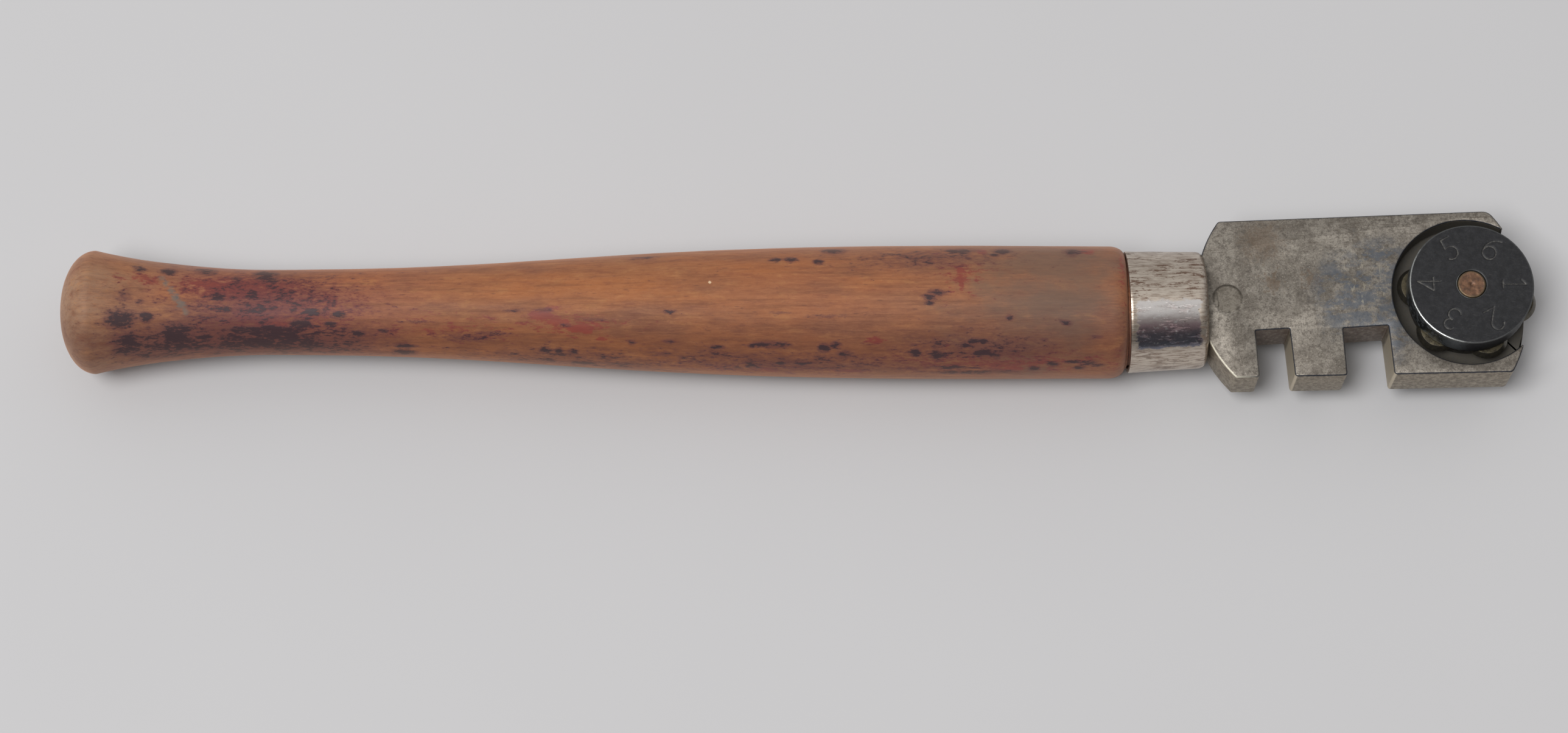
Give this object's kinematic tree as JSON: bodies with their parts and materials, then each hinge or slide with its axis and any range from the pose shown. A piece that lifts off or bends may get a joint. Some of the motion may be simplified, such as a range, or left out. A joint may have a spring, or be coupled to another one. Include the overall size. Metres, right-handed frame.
{
  "type": "glass cutter",
  "caption": "Turret glass cutter: a turned wooden handle, a metal ferrule and a notched head plate that carries a rotating numbered turret of small cutting wheels.",
  "frame": {"origin": "middle of the tool's footprint, on the surface that its handle lies on", "axes": "+X along the handle towards the wheel in use, +Z out of the numbered face of the head plate, -Y towards the breaking notches"},
  "size_m": [0.1302, 0.0154, 0.0119],
  "materials": {
    "wood": "worn, mostly bare beech with remains of dark red lacquer",
    "ferrule_nickel": "aged nickel plate with brown streaks",
    "casting": "worn nickel-plated die casting, mottled",
    "black_steel": "blackened steel, rubbed bright at its rim",
    "wheel_steel": "hardened steel with an oily brown film",
    "pin_steel": "plain steel",
    "screw_brass": "dull coppery brass",
    "washer_steel": "zinc-plated steel"
  },
  "bodies": {
    "frame": {"handle": "wood", "ferrule": "ferrule_nickel", "head_plate": "casting", "flat_washer": "washer_steel"},
    "turret": {"turret_cap": "black_steel", "turret_base": "black_steel", "axle_1": "pin_steel", "axle_2": "pin_steel", "axle_3": "pin_steel", "axle_4": "pin_steel", "axle_5": "pin_steel", "axle_6": "pin_steel"},
    "wheel_1": {"wheel_1": "wheel_steel"},
    "wheel_2": {"wheel_2": "wheel_steel"},
    "wheel_3": {"wheel_3": "wheel_steel"},
    "wheel_4": {"wheel_4": "wheel_steel"},
    "wheel_5": {"wheel_5": "wheel_steel"},
    "wheel_6": {"wheel_6": "wheel_steel"},
    "spring_washer": {"spring_washer": "washer_steel"},
    "screw": {"clamp_screw": "screw_brass"}
  },
  "joints": [
    {"name": "turret_spin", "type": "hinge", "parent": "frame", "child": "turret", "pos_m": [0.05902, 0.00017, 0.00595], "axis": [0, 0, 1], "continuous": true},
    {"name": "wheel_1_spin", "type": "hinge", "parent": "turret", "child": "wheel_1", "pos_m": [0.06321, -0.00049, 0.00719], "axis": [0, 0, 1], "continuous": true},
    {"name": "wheel_2_spin", "type": "hinge", "parent": "turret", "child": "wheel_2", "pos_m": [0.06054, -0.00379, 0.00719], "axis": [0, 0, 1], "continuous": true},
    {"name": "wheel_3_spin", "type": "hinge", "parent": "turret", "child": "wheel_3", "pos_m": [0.05634, -0.00313, 0.00719], "axis": [0, 0, 1], "continuous": true},
    {"name": "wheel_4_spin", "type": "hinge", "parent": "turret", "child": "wheel_4", "pos_m": [0.05482, 0.00084, 0.00719], "axis": [0, 0, 1], "continuous": true},
    {"name": "wheel_5_spin", "type": "hinge", "parent": "turret", "child": "wheel_5", "pos_m": [0.05749, 0.00414, 0.00719], "axis": [0, 0, 1], "continuous": true},
    {"name": "wheel_6_spin", "type": "hinge", "parent": "turret", "child": "wheel_6", "pos_m": [0.06169, 0.00348, 0.00719], "axis": [0, 0, 1], "continuous": true},
    {"name": "clamp_travel", "type": "slide", "parent": "frame", "child": "spring_washer", "axis": [0, 0, -1], "range_m": [0, 0.000225]},
    {"name": "clamp_turn", "type": "hinge", "parent": "spring_washer", "child": "screw", "pos_m": [0.05902, 0.00017, 0.00595], "axis": [0, 0, -1], "range_deg": [0, 181]}
  ],
  "couplings": [
    {"joint": "clamp_turn", "follows": "clamp_travel", "rad_per_m": 13963}
  ]
}
